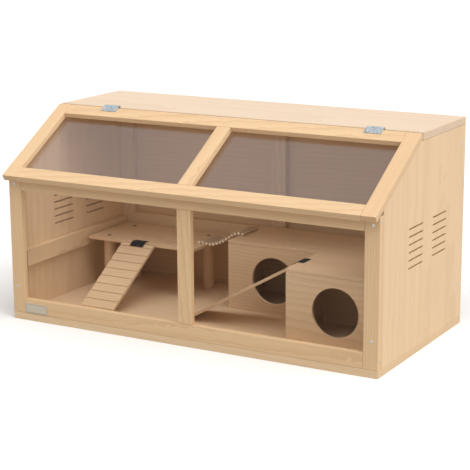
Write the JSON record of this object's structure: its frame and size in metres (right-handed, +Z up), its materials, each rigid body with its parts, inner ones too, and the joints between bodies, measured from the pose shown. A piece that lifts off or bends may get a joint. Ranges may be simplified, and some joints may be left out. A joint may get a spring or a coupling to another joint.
{
  "type": "hamster cage",
  "caption": "Wooden small-pet cage with clear front panes, a sloping hinged lid, an L-shaped pair of houses, a raised shelf, two folding ramps and a hanging bridge.",
  "frame": {"origin": "centre of the base board's underside", "axes": "+Z up, -Y towards the glazed front, +X along the width, to the right seen from the front"},
  "size_m": [1, 0.5196, 0.5208],
  "materials": {
    "pine": "bare, planed",
    "panel": "bare, veneered board",
    "inner_wood": "bare, sanded",
    "clear_sheet": "clear acrylic",
    "zinc": "zinc plated",
    "black_strap": "matte",
    "willow": "peeled sticks on cord",
    "plate": "smooth light plastic, unprinted"
  },
  "bodies": {
    "case": {"back_house_back": "inner_wood", "back_house_front": "inner_wood", "back_house_left_side": "inner_wood", "back_house_right_side": "inner_wood", "back_left_batten": "inner_wood", "back_left_rail": "inner_wood", "back_middle_batten": "inner_wood", "back_panel": "inner_wood", "back_right_batten": "inner_wood", "back_right_rail": "inner_wood", "base_board": "panel", "front_bottom_rail": "pine", "front_house_front": "inner_wood", "front_house_left_side": "inner_wood", "front_house_right_side": "inner_wood", "front_left_pane": "clear_sheet", "front_left_stile": "pine", "front_mullion": "pine", "front_right_pane": "clear_sheet", "front_right_stile": "pine", "front_top_rail": "pine", "hanging_bridge": "willow", "house_roof": "inner_wood", "house_strap_upper": "black_strap", "label_plate": "plate", "left_hinge_pin": "zinc", "left_hinge_roof_leaf": "zinc", "left_side_panel": "panel", "left_wall_rail": "inner_wood", "right_hinge_pin": "zinc", "right_hinge_roof_leaf": "zinc", "right_side_panel": "panel", "roof_board": "panel", "shelf_board": "inner_wood", "shelf_leg_back_left": "inner_wood", "shelf_leg_back_right": "inner_wood", "shelf_leg_front_left": "inner_wood", "shelf_leg_front_right": "inner_wood", "shelf_strap_upper": "black_strap"},
    "lid": {"left_hinge_lid_leaf": "zinc", "lid_bottom_rail": "pine", "lid_left_pane": "clear_sheet", "lid_left_stile": "pine", "lid_muntin": "pine", "lid_right_pane": "clear_sheet", "lid_right_stile": "pine", "lid_top_rail": "pine", "right_hinge_lid_leaf": "zinc"},
    "shelf_ramp": {"shelf_ramp": "inner_wood", "shelf_strap_lower": "black_strap"},
    "house_ramp": {"house_ramp": "inner_wood", "house_strap_lower": "black_strap"}
  },
  "joints": [
    {"name": "lid_hinge", "type": "hinge", "parent": "case", "child": "lid", "pos_m": [0, -0.0185, 0.5178], "axis": [-1, 0, 0], "range_deg": [0, 195]},
    {"name": "shelf_ramp_hinge", "type": "hinge", "parent": "case", "child": "shelf_ramp", "pos_m": [-0.3, 0.026, 0.1609], "axis": [-1, 0, 0], "range_deg": [0, 120]},
    {"name": "house_ramp_hinge", "type": "hinge", "parent": "case", "child": "house_ramp", "pos_m": [0.2185, -0.067, 0.1959], "axis": [0, 1, 0], "range_deg": [0, 70]}
  ]
}
